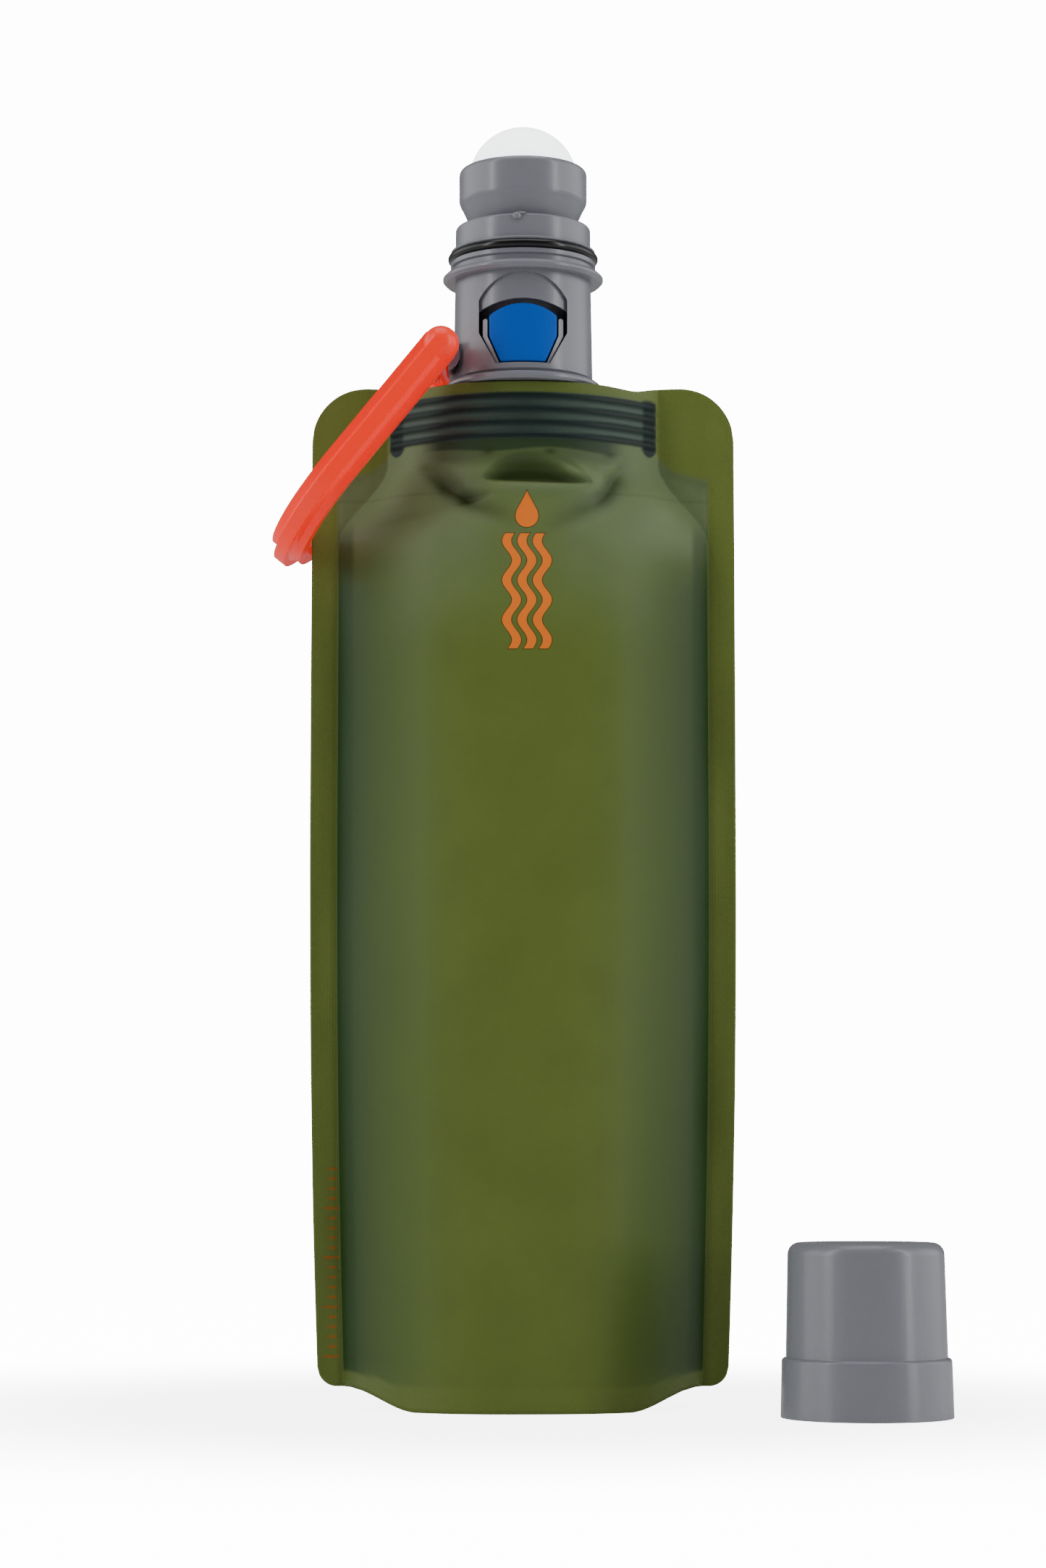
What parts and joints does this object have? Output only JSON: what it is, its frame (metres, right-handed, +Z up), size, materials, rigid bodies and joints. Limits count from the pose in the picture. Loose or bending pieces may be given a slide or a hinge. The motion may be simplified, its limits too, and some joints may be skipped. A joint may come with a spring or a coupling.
{
  "type": "collapsible water bottle",
  "caption": "Collapsible stand-up water bottle: film pouch, quick-release head with a captive roller ball, swinging carabiner and loose over-cap.",
  "frame": {"origin": "centre of the gusset's flat foot on the floor, under the neck's axis", "axes": "+Z up along the neck; the button and the printed front face -Y; the eyelet and the carabiner are on -X"},
  "size_m": [0.1704, 0.0867, 0.3328],
  "materials": {
    "film": "satin translucent olive film",
    "fitment": "moulded grey plastic",
    "grey_plastic": "fine matte mould texture",
    "blue_plastic": "satin moulded plastic",
    "orange_plastic": "satin moulded plastic",
    "seal_black": "smooth rubber",
    "seal_white": "soft silicone",
    "ball_plastic": "polished translucent white",
    "steel": "spring steel"
  },
  "bodies": {
    "pouch": {"front_panel": "film", "back_panel": "film", "bottom_gusset": "film", "spout_fitment": "fitment", "spout_seal": "seal_black"},
    "head": {"collar": "grey_plastic", "button_guide": "grey_plastic", "button_spring": "steel", "valve_body": "grey_plastic", "plug_o_ring": "seal_black", "cap_o_ring": "seal_black", "ball_housing": "grey_plastic", "ball_seat": "seal_white"},
    "button": {"release_button": "blue_plastic", "latch_plate": "grey_plastic"},
    "ball": {"roller_ball": "ball_plastic"},
    "carabiner": {"carabiner_frame": "orange_plastic", "gate_pin": "steel", "gate_spring": "steel"},
    "gate": {"carabiner_gate": "orange_plastic"},
    "cap": {"over_cap": "grey_plastic", "cap_liner": "seal_white"}
  },
  "joints": [
    {"name": "head_release", "type": "slide", "parent": "pouch", "child": "head", "axis": [0, 0, 1], "range_m": [0, 0.035]},
    {"name": "button_press", "type": "slide", "parent": "head", "child": "button", "axis": [0, 1, 0], "range_m": [0, 0.0016], "stiffness_N_per_m": 900, "springref_m": -0.0015},
    {"name": "ball_roll", "type": "hinge", "parent": "head", "child": "ball", "pos_m": [0, 0, 0.3185], "axis": [1, 0, 0], "continuous": true},
    {"name": "carabiner_swing", "type": "hinge", "parent": "head", "child": "carabiner", "pos_m": [-0.021, 0, 0.2702], "axis": [0, 1, 0], "range_deg": [0, 120]},
    {"name": "gate_open", "type": "hinge", "parent": "carabiner", "child": "gate", "pos_m": [-0.02603, 0.0223, 0.26398], "axis": [0.7772, 0, -0.6293], "range_deg": [0, 28], "stiffness_Nm_per_rad": 0.03, "springref_deg": -20.05},
    {"name": "cap_pickup", "type": "slide", "parent": "pouch", "child": "cap", "axis": [0, 0, 1], "range_m": [0, 0.08]}
  ]
}
